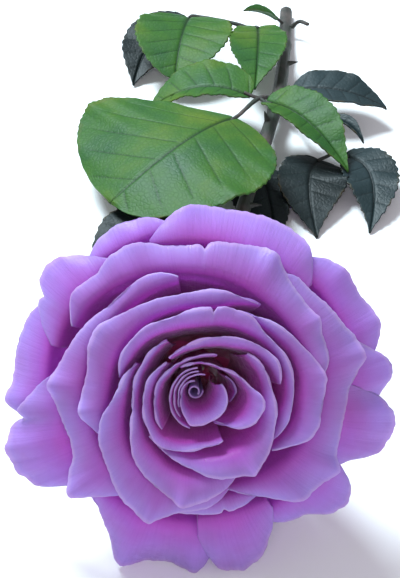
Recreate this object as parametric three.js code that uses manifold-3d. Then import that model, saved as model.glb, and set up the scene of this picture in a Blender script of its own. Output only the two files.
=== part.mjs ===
// A preserved rose: a double lilac bloom on a cut stem with three compound leaves, lying on a surface.
// Millimetres, +Z up. The stem runs back along +Y, and the bloom faces -Y and upwards.
import * as THREE from "three";
import { mergeVertices } from "three/addons/utils/BufferGeometryUtils.js";
import Module from "manifold-3d";

const wasm = await Module();
wasm.setup();

// ---- driving dimensions ----
const BLOOM_TILT = 32; // how far the bloom's axis points above the horizontal, degrees
const BLOOM_BASE = new THREE.Vector3(0, 0, 23.7); // top of the hip, where the petals start
const PETAL_THICKNESS = 0.5;
const BUD_THICKNESS = 0.4;
const BUD_NEST = 4; // how many places in the nest of petals belong to the bud
const LEAF_THICKNESS = 0.8;
const COLUMN_ANGLE = 20; // widest step between two columns of a petal's grid, degrees
const WALL_ROWS = 4; // rows of a petal's grid from its base up to its crease
const LIP_ROWS = 2; // rows from the crease out to the rim
const CLAW_WIDTH = 3.2; // width of a petal where it is attached
const CROWN_TOP = 39; // height of the highest creases above the petals' base
const CROWN_RADIUS = 13; // radius at which they stand
const LIP_RISE = 0.6; // how much a lip rises over the crown's own slope, mm per mm
const LIP_STEP = 1.4; // how far the lip steps up just outside the crease
const LOW_HANDLE = 0.35; // lengths of the wall curve's two handles, as parts of its reach
const HIGH_HANDLE = 0.45;

const rad = THREE.MathUtils.degToRad;

// ---- materials ----
const finish = (color, roughness) => new THREE.MeshStandardMaterial({ color, roughness, metalness: 0 });
const PETAL = finish(0xb98be0, 0.75);
const LEAF_LIGHT = finish(0x5b9a5a, 0.5);
const LEAF_DARK = finish(0x2d4a4c, 0.55);
const SEPAL = finish(0x587a4a, 0.7);
const STEM = finish(0x7c7a78, 0.7);

// ---- the bloom's own frame: u to the right, v up the face, axis out of the face ----
const U = new THREE.Vector3(1, 0, 0);
const V = new THREE.Vector3(0, Math.sin(rad(BLOOM_TILT)), Math.cos(rad(BLOOM_TILT)));
const AXIS = new THREE.Vector3(0, -Math.cos(rad(BLOOM_TILT)), Math.sin(rad(BLOOM_TILT)));

function bloomPoint(azimuth, radius, height) {
  return BLOOM_BASE.clone()
    .addScaledVector(U, radius * Math.cos(rad(azimuth)))
    .addScaledVector(V, radius * Math.sin(rad(azimuth)))
    .addScaledVector(AXIS, height);
}

// ---- petals ----
// The crown is the domed surface on which the creases of all the petals lie.
function crown(radius) {
  const inside = radius < CROWN_RADIUS;
  return CROWN_TOP - (inside ? 0.032 : 0.027) * (radius - CROWN_RADIUS) ** 2;
}

// Where a petal is attached. The bud's petals stand on the tip of the receptacle, the others around it.
function footOf(nest, crease) {
  if (nest <= BUD_NEST) return new THREE.Vector2(0.36 * crease, 8);
  return new THREE.Vector2(0.8 + 0.165 * nest, 6 - 0.27 * nest);
}

// A petal's profile in its own plane: q runs 0 to 1 up the wall, then 1 to 2 out along the lip.
// nest is the petal's place in the nest, counted outwards from the bud, and it sets where the base sits.
function profile(q, crease, rim, nest, drop) {
  const base = footOf(nest, crease);
  const knee = new THREE.Vector2(crease, crown(crease) - drop);
  if (q <= 1) {
    const flare = rad(Math.min(12 + 0.55 * crease, 28));
    const spread = rad(Math.min(20 + 1.3 * crease, 62));
    const reach = knee.distanceTo(base);
    const outwards = new THREE.Vector2(Math.sin(spread), Math.cos(spread));
    const upwards = new THREE.Vector2(Math.sin(flare), Math.cos(flare));
    const low = base.clone().addScaledVector(outwards, LOW_HANDLE * reach);
    const high = knee.clone().addScaledVector(upwards, -HIGH_HANDLE * reach);
    return new THREE.CubicBezierCurve(base, low, high, knee).getPoint(q);
  }
  const out = (rim - crease) * (q - 1);
  const radius = crease + out;
  return new THREE.Vector2(radius, crown(radius) - drop + LIP_RISE * out + LIP_STEP * (1 - Math.exp(-out)));
}

// Columns of a petal's grid: every corner of its rim, and steps in between where corners are far apart.
function columnsOf(corners) {
  const columns = [corners[0]];
  for (let i = 1; i < corners.length; i++) {
    const [from, to] = [corners[i - 1], corners[i]];
    const steps = Math.max(1, Math.ceil((to[0] - from[0]) / COLUMN_ANGLE));
    for (let k = 1; k <= steps; k++) {
      columns.push(from.map((value, axis) => THREE.MathUtils.lerp(value, to[axis], k / steps)));
    }
  }
  return columns;
}

// A grid of points with a thickness: a box subdivided in two directions, then bent onto the surface.
function bentSheet(surface, columns, rows, thickness) {
  const geometry = new THREE.BoxGeometry(1, 1, 1, columns, rows, 1);
  const position = geometry.attributes.position;
  const step = 1e-3;
  for (let i = 0; i < position.count; i++) {
    const s = position.getX(i) + 0.5;
    const t = position.getY(i) + 0.5;
    const s0 = Math.min(Math.max(s, step), 1 - step);
    const t0 = Math.min(Math.max(t, step), 1 - step);
    const across = surface(s0 + step, t0).sub(surface(s0 - step, t0));
    const along = surface(s0, t0 + step).sub(surface(s0, t0 - step));
    const normal = across.cross(along).normalize();
    const depth = thickness * THREE.MathUtils.lerp(0.5, 1, THREE.MathUtils.smoothstep(t, 0, 0.4));
    const point = surface(s, t).addScaledVector(normal, position.getZ(i) * depth);
    position.setXYZ(i, point.x, point.y, point.z);
  }
  return geometry;
}

// corners: [azimuth, crease radius, rim radius] in order of azimuth. drop lowers the whole rim.
function petal(name, nest, corners, { drop = 0, thickness = PETAL_THICKNESS } = {}) {
  const columns = columnsOf(corners);
  const last = columns.length - 1;
  const rows = WALL_ROWS + LIP_ROWS;
  const middle = (columns[0][0] + columns[last][0]) / 2;
  const span = columns[last][0] - columns[0][0];
  const claw = Math.min(0.8 * span, THREE.MathUtils.radToDeg(CLAW_WIDTH / footOf(nest, corners[0][1]).x), 150);
  const surface = (s, t) => {
    const column = Math.min(s * last, last);
    const at = Math.min(Math.floor(column), last - 1);
    const [azimuth, crease, rim] = columns[at].map((value, i) =>
      THREE.MathUtils.lerp(value, columns[at + 1][i], column - at));
    const row = t * rows;
    const q = row <= WALL_ROWS ? row / WALL_ROWS : 1 + (row - WALL_ROWS) / LIP_ROWS;
    const open = THREE.MathUtils.smoothstep(q, 0, 0.7);
    const width = THREE.MathUtils.lerp(claw / span, 1, open);
    const { x, y } = profile(q, crease, rim, nest, drop);
    return bloomPoint(middle + (azimuth - middle) * width, x, y);
  };
  return named(name, bentSheet(surface, last, rows, thickness), PETAL);
}

function named(name, geometry, material) {
  const mesh = new THREE.Mesh(geometry, material);
  mesh.name = name;
  return mesh;
}

// The rolled core is one strip that winds in on itself.
function rolledCore() {
  const turn = (s, t) => {
    const radius = (0.75 + 0.9 * s) * THREE.MathUtils.lerp(0.5, 1, t);
    return bloomPoint(-40 + 400 * s, radius, THREE.MathUtils.lerp(16, 35.5 - 1.5 * s, t));
  };
  return named("bud_core", bentSheet(turn, 24, 3, 0.35), PETAL);
}

// name, nest, corners of the rim
const PETALS = [
  ["bud_petal_1", 1, [[90, 2.3, 2.4], [195, 2.6, 2.9], [227, 3.1, 4.0], [245, 3.4, 4.8],
    [262, 3.7, 6.1], [302, 3.8, 6.1], [345, 3.9, 6.8], [384, 4.6, 7.4]]],
  ["bud_petal_2", 2, [[62, 4.4, 4.5], [98, 3.5, 3.6], [145, 3.1, 3.2], [195, 3.4, 3.5], [222, 4.3, 4.4]]],
  ["bud_petal_3", 3, [[80, 4.7, 4.9], [98, 4.4, 4.5], [145, 3.9, 4.0], [195, 4.3, 4.4], [238, 5.6, 5.7]]],
  ["bud_petal_4", 4, [[84, 5.5, 5.6], [98, 5.2, 5.3], [145, 4.7, 4.8], [178, 4.9, 5.0],
    [209, 5.5, 5.7], [243, 6.5, 6.7], [262, 7.0, 7.2]]],
  ["inner_petal_1", 5, [[342, 7.4, 7.6], [360, 8.3, 8.6], [374, 7.9, 8.1], [386, 6.9, 7.1]]],
  ["inner_petal_2", 6, [[304, 6.7, 7.0], [314, 8.0, 8.6], [326, 9.4, 11.4], [337, 10.4, 13.2],
    [352, 11.0, 14.2], [362, 10.9, 13.8], [370, 10.2, 11.6], [387, 9.2, 9.6], [405, 7.6, 7.8],
    [432, 6.8, 6.9], [463, 6.3, 6.4], [478, 6.4, 6.5]]],
  ["inner_petal_3", 6.6, [[62, 9.4, 10.2], [72, 8.6, 9.2], [90, 7.7, 8.0], [111, 7.2, 7.4],
    [139, 6.8, 7.5], [160, 7.2, 8.1], [183, 7.6, 8.2], [204, 8.2, 8.9], [226, 9.4, 10.2]]],
  ["inner_petal_4", 8.4, [[130, 8.8, 9.2], [147, 8.6, 9.9], [172, 8.9, 10.3], [193, 9.5, 10.8],
    [213, 10.1, 11.5], [229, 10.8, 12.4], [240, 10.6, 12.4], [267, 10.0, 11.1], [280, 9.8, 10.8],
    [302, 10.2, 11.8]]],
  ["inner_petal_5", 9.2, [[8, 17.2, 18.4], [23, 16.4, 18.4], [39, 14.7, 17.0], [53, 12.8, 15.2],
    [71, 11.0, 13.2], [90, 9.9, 11.2], [110, 9.2, 10.2], [124, 9.2, 9.9]]],
  ["middle_petal_1", 10, [[222, 12.0, 12.6], [238, 12.2, 13.0], [254, 12.2, 13.8], [270, 12.4, 15.2],
    [291, 13.2, 17.7], [308, 13.8, 20.2], [315, 13.9, 19.5], [339, 14.3, 17.4], [360, 14.0, 16.0],
    [385, 13.6, 15.3], [400, 13.2, 14.8]]],
  ["middle_petal_2", 11, [[116, 12.6, 13.4], [148, 11.7, 12.6], [179, 11.7, 12.7], [194, 12.0, 13.1],
    [207, 12.6, 14.4], [222, 13.8, 17.2], [238, 14.8, 19.3], [252, 15.3, 21.3], [263, 15.6, 22.9],
    [279, 15.8, 21.3], [301, 16.2, 19.7]]],
  ["middle_petal_3", 13, [[150, 13.4, 14.2], [174, 14.0, 15.4], [183, 14.4, 17.1], [191, 14.9, 19.2],
    [204, 16.0, 21.5], [224, 17.6, 24.1], [236, 18.3, 26.4], [250, 18.6, 28.8], [264, 18.8, 24.8],
    [290, 19.0, 22.8]]],
  ["middle_petal_4", 12, [[-33, 17.0, 19.2], [-17, 17.6, 19.8], [3, 18.8, 20.4], [15, 19.0, 20.3],
    [28, 18.4, 20.0], [43, 17.4, 19.4], [58, 16.3, 20.2], [72, 15.4, 19.6], [80, 14.7, 18.4],
    [94, 14.3, 17.7], [107, 14.3, 17.2], [126, 15.0, 17.5], [145, 15.2, 17.4], [166, 15.6, 16.4]]],
  ["middle_petal_5", 14, [[-36, 19.2, 20.2], [-28, 19.8, 22.3], [-21, 20.6, 25.2], [-15, 21.2, 26.4],
    [1, 21.8, 26.9], [8, 22.0, 27.2], [24, 21.4, 24.3], [41, 20.2, 22.0], [54, 19.4, 20.6],
    [63, 19.2, 20.0]]],
  ["middle_petal_6", 17, [[-73, 20.4, 21.0], [-65, 20.8, 23.6], [-57, 21.4, 26.2], [-46, 22.4, 31.8],
    [-37, 23.4, 33.4], [-30, 24.0, 35.2], [-25, 24.4, 32.7], [-13, 25.0, 31.5], [0, 25.6, 32.4],
    [11, 26.0, 36.8], [24, 26.2, 33.3], [42, 26.4, 31.8], [57, 26.4, 32.4]]],
  ["middle_petal_7", 18, [[246, 21.2, 24.6], [262, 21.6, 25.2], [278, 22.0, 25.8], [291, 22.4, 25.9],
    [304, 23.6, 26.4]]],
  ["large_petal_1", 15, [[54, 22.6, 23.8], [64, 20.9, 22.8], [77, 19.0, 22.1], [88, 18.4, 21.4],
    [104, 18.2, 21.2], [118, 18.2, 21.6], [132, 18.1, 22.8], [143, 18.0, 24.0], [153, 17.9, 23.8],
    [168, 17.8, 22.6], [180, 17.8, 23.1], [188, 17.9, 24.0], [207, 18.6, 21.9]]],
  ["large_petal_2", 16, [[98, 23.4, 26.0], [116, 23.0, 26.3], [135, 22.2, 25.5], [147, 22.0, 26.2],
    [158, 22.0, 27.4], [171, 22.0, 29.0], [176, 22.0, 30.6], [186, 21.8, 28.8], [202, 21.7, 27.8],
    [209, 21.7, 28.6], [220, 21.9, 34.6], [230, 22.0, 29.2], [240, 22.2, 26.0]]],
  ["large_petal_3", 19, [[4, 24.0, 26.6], [14, 24.0, 28.2], [25, 23.8, 28.9], [31, 23.7, 30.3],
    [38, 23.7, 29.3], [48, 23.8, 29.8], [55, 23.9, 31.6], [60, 24.0, 33.8], [73, 24.4, 31.6],
    [90, 24.9, 30.4], [101, 25.4, 31.0], [112, 26.2, 33.2], [123, 27.0, 33.0], [130, 27.6, 31.6],
    [142, 28.2, 32.6], [152, 28.0, 29.8]]],
  ["guard_petal_1", 20, [[172, 26.0, 32.6], [181, 26.4, 34.0], [186, 26.6, 37.0], [194, 26.8, 40.2],
    [200, 26.8, 43.4], [207, 26.8, 43.4], [213, 26.8, 41.0], [218, 26.8, 36.5], [223, 26.8, 33.0]]],
  ["guard_petal_2", 25, [[146, 31.6, 36.0], [153, 31.6, 37.5], [160, 31.4, 38.6], [168, 31.0, 39.2],
    [180, 30.6, 38.9], [185, 30.4, 41.0], [190, 30.2, 38.0], [198, 30.0, 34.0]]],
  ["guard_petal_3", 23, [[122, 30.6, 34.0], [130, 30.4, 36.2], [136, 30.2, 39.2], [141, 30.1, 40.2],
    [147, 30.0, 39.0], [155, 30.0, 36.4], [163, 29.6, 34.0]]],
  ["guard_petal_4", 28, [[96, 33.0, 34.6], [106, 32.8, 37.3], [116, 32.6, 38.0], [124, 32.6, 36.8],
    [132, 32.6, 35.2]]],
  ["guard_petal_5", 24, [[42, 30.2, 36.6], [50, 30.2, 38.1], [67, 30.2, 38.4], [81, 30.3, 38.0],
    [93, 30.4, 38.2], [97, 30.5, 36.8], [107, 30.9, 35.0]]],
  ["guard_petal_6", 29, [[4, 33.0, 36.6], [10, 33.0, 39.6], [18, 33.0, 41.8], [28, 33.0, 39.8],
    [37, 32.8, 40.2], [45, 32.6, 37.8], [53, 32.6, 35.6]]],
  ["guard_petal_7", 27, [[-13, 30.6, 36.0], [-4, 30.6, 40.0], [2, 30.6, 43.0], [7, 30.6, 42.0],
    [12, 30.6, 37.6], [20, 30.4, 34.0]]],
  ["guard_petal_8", 22, [[-35, 27.8, 33.6], [-27, 28.0, 36.5], [-21, 28.2, 43.0], [-14, 28.2, 44.6],
    [-9, 28.2, 43.6], [-4, 28.2, 40.0], [3, 28.2, 35.0]]],
  ["guard_petal_9", 26, [[295, 29.6, 33.0], [304, 29.8, 35.4], [311, 30.0, 37.0], [316, 30.0, 41.4],
    [321, 30.0, 43.2], [326, 30.0, 41.0], [334, 30.0, 36.0]]],
  ["guard_petal_10", 21, [[271, 26.4, 38.6], [278, 26.4, 41.6], [284, 26.6, 42.8], [290, 26.8, 40.4],
    [296, 27.2, 36.0], [303, 27.6, 33.0]]],
  ["guard_petal_11", 24, [[219, 29.6, 31.4], [231, 28.9, 33.3], [241, 28.5, 38.0], [248, 28.3, 44.6],
    [254, 28.3, 41.6], [261, 28.2, 40.7], [270, 28.2, 42.6], [279, 28.4, 39.0]]],
];

// ---- hip, sepals, stem ----
function hip() {
  const outline = [[0, -13], [2.2, -13], [3.6, -11.5], [5.6, -8.6], [5.9, -6.2], [5.0, -3.8], [4.4, -3.2],
    [0.3, 4.6], [0, 4.7]];
  const turned = new THREE.LatheGeometry(outline.map(([r, w]) => new THREE.Vector2(r, w)), 16);
  const basis = new THREE.Matrix4().makeBasis(U, AXIS, V.clone().negate());
  turned.applyMatrix4(basis.setPosition(BLOOM_BASE));
  return named("hip", turned, SEPAL);
}

// A leaf blade: a midrib through three points, its width on the left and right of the rib, and how far its
// halves fold up along the rib. facing is the rough direction that its upper side looks to, and widest is
// how far along the rib the left and the right side are at their widest.
function blade(name, [from, via, to], [left, right], material, options = {}) {
  const { fold = 8, facing = [0, 0, 1], widest = [0.42, 0.42] } = options;
  const midrib = new THREE.QuadraticBezierCurve3(...[from, via, to].map((p) => new THREE.Vector3(...p)));
  const up = new THREE.Vector3(...facing).normalize();
  const [leftBulge, rightBulge] = widest.map((place) => Math.log(0.5) / Math.log(place));
  const surface = (s, t) => {
    const across = 2 * s - 1;
    const point = midrib.getPoint(t);
    const side = midrib.getTangent(t).cross(up).normalize();
    const lift = side.clone().cross(midrib.getTangent(t)).normalize();
    const [half, bulge] = across < 0 ? [left, leftBulge] : [right, rightBulge];
    const reach = half * (0.1 + 0.9 * Math.max(Math.sin(Math.PI * t ** bulge), 0) ** 0.75);
    point.addScaledVector(side, across * reach * Math.cos(rad(fold)));
    return point.addScaledVector(lift, Math.abs(across) * reach * Math.sin(rad(fold)));
  };
  return named(name, bentSheet(surface, 4, 6, LEAF_THICKNESS), material);
}

function sepal(index) {
  const azimuth = 18 + 72 * index;
  const points = [bloomPoint(azimuth, 6.0, -3.6), bloomPoint(azimuth, 15, -3.0), bloomPoint(azimuth, 20, -9)];
  return blade(`sepal_${index + 1}`, points.map((p) => p.toArray()), [3.4, 3.4], SEPAL,
    { facing: AXIS.toArray(), widest: [0.3, 0.3] });
}

// A round rod along a smooth curve through the points.
function rod(points, radius, sides, steps) {
  const curve = new THREE.CatmullRomCurve3(points.map((p) => new THREE.Vector3(...p)));
  const section = new THREE.Shape();
  for (let i = 0; i < sides; i++) {
    const angle = (2 * Math.PI * i) / sides;
    const corner = [radius * Math.cos(angle), radius * Math.sin(angle)];
    if (i === 0) section.moveTo(...corner);
    else section.lineTo(...corner);
  }
  return new THREE.ExtrudeGeometry(section, { steps, extrudePath: curve, bevelEnabled: false });
}

function solidOf(geometry) {
  geometry.deleteAttribute("normal");
  geometry.deleteAttribute("uv");
  const merged = mergeVertices(geometry, 1e-4);
  const vertProperties = merged.attributes.position.array;
  const triVerts = new Uint32Array(merged.index.array);
  return new wasm.Manifold(new wasm.Mesh({ numProp: 3, vertProperties, triVerts }));
}

function geometryOf(solid) {
  const { vertProperties, triVerts } = solid.getMesh();
  const geometry = new THREE.BufferGeometry();
  geometry.setAttribute("position", new THREE.BufferAttribute(vertProperties, 3));
  geometry.setIndex(new THREE.BufferAttribute(triVerts, 1));
  geometry.computeVertexNormals();
  return geometry;
}

const STEM_RADIUS = 2.1;
const STEM_ROUTE = [bloomPoint(0, 0, -13.4).toArray(), [1, 22, 11], [6, 44, 8.2], [15, 88, 8.6],
  [25, 136, 7.6], [29, 172, 5.2], [31, 201, 2.9]];

// Thorns are hooked cones that stand off the stem's side.
const THORNS = [[[8.6, 58, 8.4], [-1, 0.2, 0.6]], [[13, 80, 8.6], [1, 0.1, 0.2]], [[22, 122, 8.1], [-0.3, 0.2, 1]],
  [[27.6, 160, 6.1], [1, 0.2, 0.3]]];

function stem() {
  let solid = solidOf(rod(STEM_ROUTE, STEM_RADIUS, 10, 22));
  for (const [root, towards] of THORNS) {
    const thorn = new THREE.ConeGeometry(1.3, 6, 6);
    const direction = new THREE.Vector3(...towards).normalize();
    thorn.applyQuaternion(new THREE.Quaternion().setFromUnitVectors(new THREE.Vector3(0, 1, 0), direction));
    thorn.translate(...new THREE.Vector3(...root).addScaledVector(direction, 2.6).toArray());
    solid = solid.add(solidOf(thorn));
  }
  return named("stem", geometryOf(solid), STEM);
}

// ---- leaves ----
const STALK_RADIUS = 0.8;
const stalk = (name, points) => named(name, rod(points, STALK_RADIUS, 6, 8), STEM);

function leafA() {
  return [
    stalk("leaf_a_stalk", [[23.4, 134, 10.6], [19, 127, 14.6], [12.6, 112.6, 18]]),
    blade("leaf_a_leaflet_1", [[11.4, 110.4, 18.4], [-1, 95, 26], [-24, 78, 11.4]], [28, 38], LEAF_LIGHT,
      { fold: -5, widest: [0.45, 0.6] }),
    blade("leaf_a_leaflet_2", [[16.2, 126.6, 15.4], [1, 134, 20], [-15, 129, 9]], [6, 12], LEAF_LIGHT),
    blade("leaf_a_leaflet_3", [[20.8, 124, 15], [33, 116, 19], [44, 96, 9.4]], [9, 9], LEAF_LIGHT, { fold: 24 }),
  ];
}

function leafB() {
  return [
    stalk("leaf_b_stalk", [[26.4, 175, 8.4], [14, 176, 12], [0, 180, 13]]),
    blade("leaf_b_leaflet_1", [[-2.4, 177, 14.2], [-5.4, 163, 18], [-7, 147, 9]], [16, 15], LEAF_LIGHT),
    blade("leaf_b_leaflet_2", [[20, 173.6, 12.6], [20, 156, 19], [18, 136.6, 12]], [9, 9], LEAF_LIGHT),
    blade("leaf_b_leaflet_3", [[-2.4, 178.6, 11], [-17, 177, 11], [-20.6, 155, 2]], [12, 10], LEAF_DARK),
    blade("leaf_b_stipule", [[27.2, 188, 7.4], [22, 186, 12.6], [15.6, 182, 14.4]], [2.6, 2.6], LEAF_LIGHT,
      { fold: 25 }),
  ];
}

function leafC() {
  return [
    stalk("leaf_c_stalk", [[27.6, 134, 8.4], [33, 122, 8], [40, 108, 7]]),
    blade("leaf_c_leaflet_1", [[30, 138, 10.4], [44, 138, 14], [59, 132, 7.6]], [9, 9], LEAF_DARK, { fold: 8 }),
    blade("leaf_c_leaflet_2", [[43.8, 107, 7], [55, 101, 10], [49, 77, 1.8]], [8, 8], LEAF_DARK),
    blade("leaf_c_leaflet_3", [[36.6, 106.6, 6], [30, 98, 9], [34, 75, 1.6]], [11, 9], LEAF_DARK, { fold: 4 }),
    blade("leaf_c_leaflet_4", [[38, 121, 7.6], [45, 123, 13], [50, 112, 8.6]], [2.6, 2.6], LEAF_DARK,
      { fold: 30 }),
  ];
}

// The lowest leaf lies half hidden between the bloom and the big leaflet above it.
function leafD() {
  return [
    stalk("leaf_d_stalk", [[7.6, 62, 9.6], [3, 67, 9], [-4, 72, 8.4]]),
    blade("leaf_d_leaflet_1", [[-5.6, 73, 8], [-18, 74, 9], [-29, 60, 1.6]], [10, 10], LEAF_DARK),
    blade("leaf_d_leaflet_2", [[2.4, 64.4, 8.2], [-6, 56, 10], [-10, 40, 3]], [9, 9], LEAF_DARK),
    blade("leaf_d_leaflet_3", [[17.5, 106, 4.4], [22, 95, 5], [22, 68, 1.6]], [6, 11], LEAF_DARK, { fold: 2 }),
  ];
}

const twig = () => named("dry_twig", rod([[32.4, 187, 5.2], [34.6, 185.4, 8], [37, 180, 10]], 0.7, 6, 5), STEM);

// ---- the whole rose, moved so that its box stands on the origin ----
const rose = new THREE.Group();
rose.add(rolledCore());
for (const [name, nest, corners] of PETALS) {
  const bud = name.startsWith("bud");
  rose.add(petal(name, nest, corners, {
    thickness: bud ? BUD_THICKNESS : PETAL_THICKNESS,
    drop: name === "inner_petal_1" ? 4 : 0,
  }));
}
rose.add(hip(), stem(), ...leafA(), ...leafB(), ...leafC(), ...leafD(), twig());
for (let i = 0; i < 5; i++) rose.add(sepal(i));

const box = new THREE.Box3().setFromObject(rose);
const centre = box.getCenter(new THREE.Vector3());
rose.position.set(-centre.x, -centre.y, -box.min.z);

export default rose;
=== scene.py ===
"""The looks of the preserved rose: fine petals, leaves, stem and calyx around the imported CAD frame.

The design numbers are millimetres and degrees, the same as the part's own source. The functions below turn
them into metres in the frame, so each fine piece lies where its CAD solid is.
"""
import math

import bpy
import numpy as np
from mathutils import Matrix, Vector


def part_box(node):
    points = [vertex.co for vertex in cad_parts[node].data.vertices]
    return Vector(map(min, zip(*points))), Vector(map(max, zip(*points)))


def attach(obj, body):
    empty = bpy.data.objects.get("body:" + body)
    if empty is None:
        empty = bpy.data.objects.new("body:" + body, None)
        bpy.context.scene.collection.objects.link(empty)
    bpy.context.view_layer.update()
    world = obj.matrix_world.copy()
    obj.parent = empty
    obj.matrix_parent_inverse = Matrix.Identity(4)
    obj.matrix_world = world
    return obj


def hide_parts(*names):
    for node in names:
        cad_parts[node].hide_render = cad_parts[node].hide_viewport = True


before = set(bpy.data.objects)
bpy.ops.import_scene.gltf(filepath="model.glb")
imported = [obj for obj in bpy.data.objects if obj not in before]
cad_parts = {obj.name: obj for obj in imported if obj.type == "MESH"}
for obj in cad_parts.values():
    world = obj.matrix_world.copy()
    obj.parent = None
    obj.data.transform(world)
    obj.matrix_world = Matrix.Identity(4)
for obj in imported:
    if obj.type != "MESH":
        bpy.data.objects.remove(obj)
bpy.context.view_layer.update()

MM = 0.001

# ---- driving dimensions, as in the part ----
BLOOM_TILT = math.radians(32)
BASE_HEIGHT = 23.7
HIP_FOOT = (2.2, 13.0)  # radius of the hip's lower rim, and its depth below the petals' base
HIP_TIP = (0.3, 4.6)  # radius and height of the flat tip of the hip
BUD_NEST = 4
CLAW_WIDTH = 3.2
CROWN_TOP = 39
CROWN_RADIUS = 13
LIP_RISE = 0.6
STEM_RADIUS = 2.1
STALK_RADIUS = 0.8

# ---- looks ----
PETAL_THICKNESS = 0.27
LEAF_THICKNESS = 0.45
COLUMN_STEP = 0.55  # widest step of a petal's grid along its rim
WALL_ROWS = 22
LIP_ROWS = 16
HEM_ROWS = 6
BEND_BACK = 0.28  # how far a lip bends back at its rim, as part of its width
CREASE_BLUR = 6  # degrees over which the crease is smoothed, and the rim
RIM_BLUR = 1.6
RIM_UNEVENNESS = 0.02  # as part of the lip's width
END_ROUNDING = 8.0  # length of rim over which a petal's end is rounded off
END_DROP = 0.30  # how much of its height a petal loses there
TIP_HALF_WIDTH = 4.5  # degrees on each side of a pointed corner where the rim doesn't roll over
ROLL_TURN = (25, 105)  # degrees that the rim turns at a corner, and how much more between corners
ROLL_RADIUS = (0.08, 0.42)  # smallest and largest
TOOTH_PITCH = 2.1  # length of one tooth of a leaf's edge
BRANCH_RADIUS = 0.55
HOLDER_RADIUS = 0.5
BRANCH_ROWS = 14
BRANCH_SIDES = 10
STALK_ROWS = 60
STALK_SIDES = 16
STEM_ROWS = 420
STEM_SIDES = 36
THORN_ROWS = 16
THORN_SIDES = 12
HIP_SIDES = 48

U = np.array([1.0, 0.0, 0.0])
V = np.array([0.0, math.sin(BLOOM_TILT), math.cos(BLOOM_TILT)])
AXIS = np.array([0.0, -math.cos(BLOOM_TILT), math.sin(BLOOM_TILT)])
BASE = np.array([0.0, 0.0, BASE_HEIGHT])


def find_shift():
    """Where the design's origin lies in the frame, worked out from the box of the turned hip."""
    low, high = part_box("hip")
    cos, sin = math.cos(BLOOM_TILT), math.sin(BLOOM_TILT)
    x = (low.x + high.x) / 2
    y = high.y - MM * (HIP_FOOT[1] * cos + HIP_FOOT[0] * sin)
    z = high.z - MM * (HIP_TIP[1] * sin + HIP_TIP[0] * cos + BASE_HEIGHT)
    return np.array([x, y, z])


SHIFT = find_shift()


def in_frame(points):
    return np.asarray(points, float) * MM + SHIFT


# ---- small helpers ----
def lerp(a, b, t):
    return a + (b - a) * t


def smoothstep(x, low, high):
    t = np.clip((np.asarray(x, float) - low) / (high - low), 0, 1)
    return t * t * (3 - 2 * t)


def unit(vectors):
    length = np.linalg.norm(vectors, axis=-1, keepdims=True)
    return vectors / np.maximum(length, 1e-9)


def bloom_point(azimuth, radius, height):
    """A point in the bloom's own frame: azimuth in degrees, anticlockwise as seen from the front."""
    angle = np.radians(azimuth)
    sideways = (radius * np.cos(angle))[..., None] * U
    upwards = (radius * np.sin(angle))[..., None] * V
    outwards = (height + 0 * radius)[..., None] * AXIS
    return BASE + sideways + upwards + outwards


def grid_normals(points):
    along = np.gradient(points, axis=0)
    across = np.gradient(points, axis=1)
    return unit(np.cross(across, along))


def wave(position, lengths, generator):
    """A sum of sines of the given wavelengths, with random phases, about 1 high."""
    total = np.zeros_like(position)
    for length in lengths:
        total += np.sin(2 * math.pi * (position / length + generator.random()))
    return total / len(lengths)


# ---- pieces ----
def grid_faces(rows, columns, first, flip):
    index = first + np.arange(rows * columns).reshape(rows, columns)
    quads = np.stack([index[:-1, :-1], index[:-1, 1:], index[1:, 1:], index[1:, :-1]], axis=-1)
    quads = quads.reshape(-1, 4)
    return quads[:, ::-1] if flip else quads


def edge_loop(rows, columns):
    """The points around a grid's border, in order."""
    index = np.arange(rows * columns).reshape(rows, columns)
    return np.concatenate([index[0, :-1], index[:-1, -1], index[-1, :0:-1], index[:0:-1, 0]])


def make_piece(name, vertices, faces, node, material, values=None):
    """A smooth-shaded mesh object that stands for a CAD node. values holds one number per vertex."""
    mesh = bpy.data.meshes.new(name)
    mesh.from_pydata(in_frame(vertices).tolist(), [], [list(face) for face in faces])
    mesh.polygons.foreach_set("use_smooth", np.ones(len(mesh.polygons), bool))
    for key, numbers in (values or {}).items():
        attribute = mesh.attributes.new(key, "FLOAT", "POINT")
        attribute.data.foreach_set("value", np.asarray(numbers, np.float32).ravel())
    mesh.materials.append(material)
    piece = bpy.data.objects.new(name, mesh)
    bpy.context.scene.collection.objects.link(piece)
    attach(piece, "root")
    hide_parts(node)
    return piece


def sheet(node, points, thickness, material, values):
    """A closed thin sheet on both sides of a grid of points. values holds one grid of numbers per name."""
    rows, columns = points.shape[:2]
    offset = grid_normals(points) * (np.broadcast_to(thickness, (rows, columns)) / 2)[..., None]
    front = (points + offset).reshape(-1, 3)
    back = (points - offset).reshape(-1, 3)
    count = rows * columns
    loop = edge_loop(rows, columns)
    following = np.roll(loop, -1)
    rim = np.stack([following, loop, loop + count, following + count], axis=-1)
    faces = np.concatenate([grid_faces(rows, columns, 0, False), grid_faces(rows, columns, count, True), rim])
    doubled = {key: np.concatenate([grid.ravel(), grid.ravel()]) for key, grid in values.items()}
    doubled["front"] = np.concatenate([np.ones(count), np.zeros(count)])
    return make_piece(node + "_fine", np.concatenate([front, back]), faces, node, material, doubled)


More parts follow.
